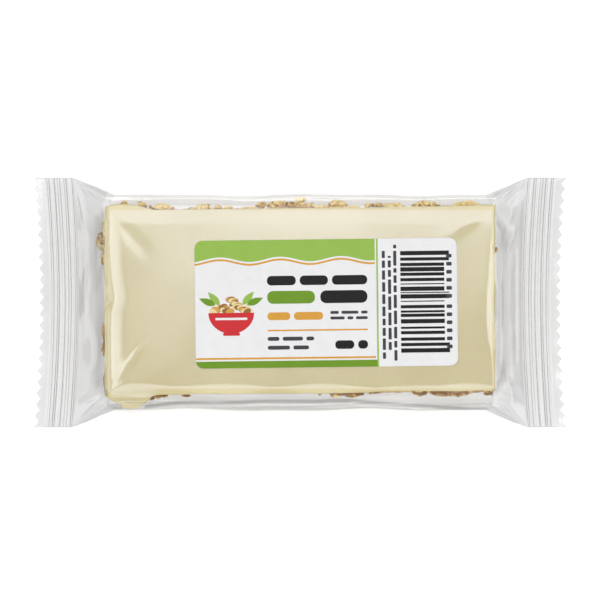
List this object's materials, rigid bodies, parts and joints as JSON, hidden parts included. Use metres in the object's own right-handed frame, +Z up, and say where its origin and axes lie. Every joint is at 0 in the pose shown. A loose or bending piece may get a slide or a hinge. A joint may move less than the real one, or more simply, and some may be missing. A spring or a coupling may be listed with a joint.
{
  "type": "wrapped granola bar",
  "caption": "Coated oat bar sealed in clear flow-wrap film, with a crimped saw-edged fin at each end and a printed label on its upper face, lying flat.",
  "frame": {"origin": "on the surface that the pack lies on, below the middle of the pack", "axes": "+X along the bar towards the end nearer the label, +Y across it and +Z up, out of the labelled face"},
  "size_m": [0.1634, 0.0766, 0.0152],
  "materials": {
    "film": "thin clear film, glossy, slightly creased",
    "label": "white coated paper with fields of green, gold and red print",
    "coating": "pale cream yogurt coating, smooth, soft sheen",
    "oats": "baked rolled oats, rough and golden"
  },
  "bodies": {
    "root": {"wrapper": "film", "label": "label"}
  },
  "joints": []
}
